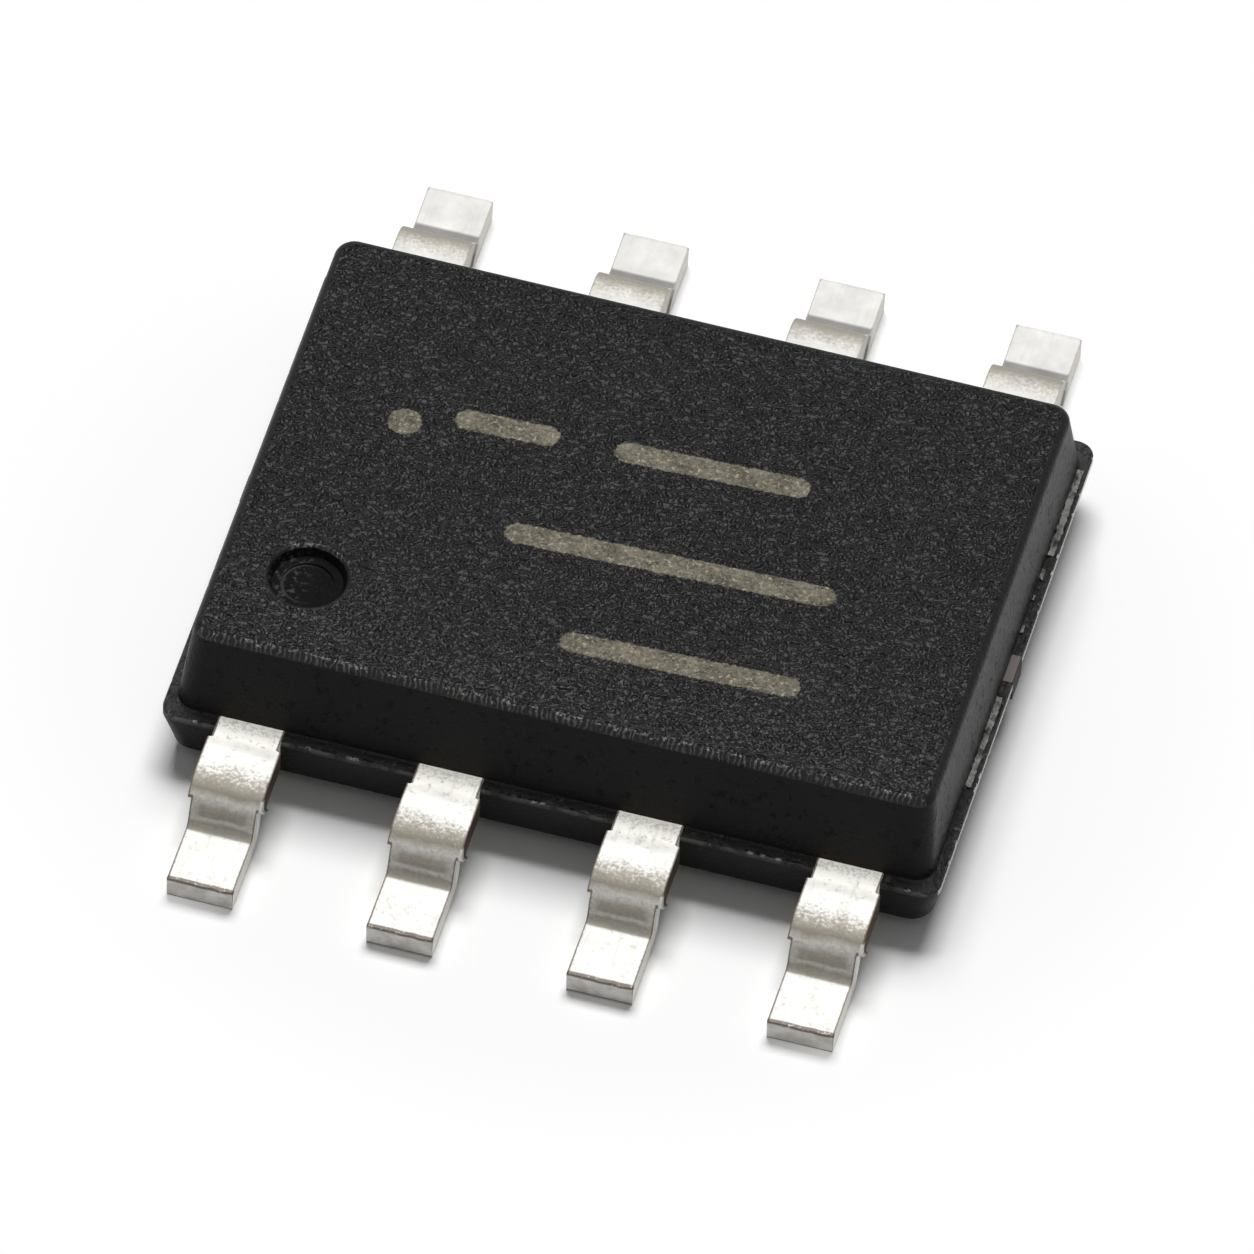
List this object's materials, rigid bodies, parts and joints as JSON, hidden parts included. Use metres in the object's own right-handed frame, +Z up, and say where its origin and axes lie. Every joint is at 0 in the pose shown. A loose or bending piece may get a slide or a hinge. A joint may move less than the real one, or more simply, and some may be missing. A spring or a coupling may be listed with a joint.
{
  "type": "integrated circuit",
  "caption": "Low moulded surface-mount integrated circuit: a black epoxy body with a pin-one dimple and rows of tinned gull-wing leads that are soldered flat to a board.",
  "frame": {"origin": "on the board plane, under the middle of the body, where the soles of the feet rest", "axes": "+X along the lead rows, +Y across them, +Z up from the board; lead one is the front row's left one, at -X and -Y, beside the dimple"},
  "size_m": [0.005, 0.006, 0.001],
  "materials": {
    "mould_compound": "black epoxy, matte with a fine grain",
    "tin_plate": "matte tin plating on copper alloy",
    "frame_copper": "bare copper alloy",
    "attach_epoxy": "silver-filled epoxy",
    "silicon": "polished silicon",
    "wire_copper": "drawn copper wire"
  },
  "bodies": {
    "root": {"moulded_body": "mould_compound", "die_paddle": "frame_copper", "die_attach": "attach_epoxy", "silicon_die": "silicon", "lead_1": "tin_plate", "lead_2": "tin_plate", "lead_3": "tin_plate", "lead_4": "tin_plate", "lead_5": "tin_plate", "lead_6": "tin_plate", "lead_7": "tin_plate", "lead_8": "tin_plate", "bond_wire_1": "wire_copper", "bond_wire_2": "wire_copper", "bond_wire_3": "wire_copper", "bond_wire_4": "wire_copper", "bond_wire_5": "wire_copper", "bond_wire_6": "wire_copper", "bond_wire_7": "wire_copper", "bond_wire_8": "wire_copper"}
  },
  "joints": []
}
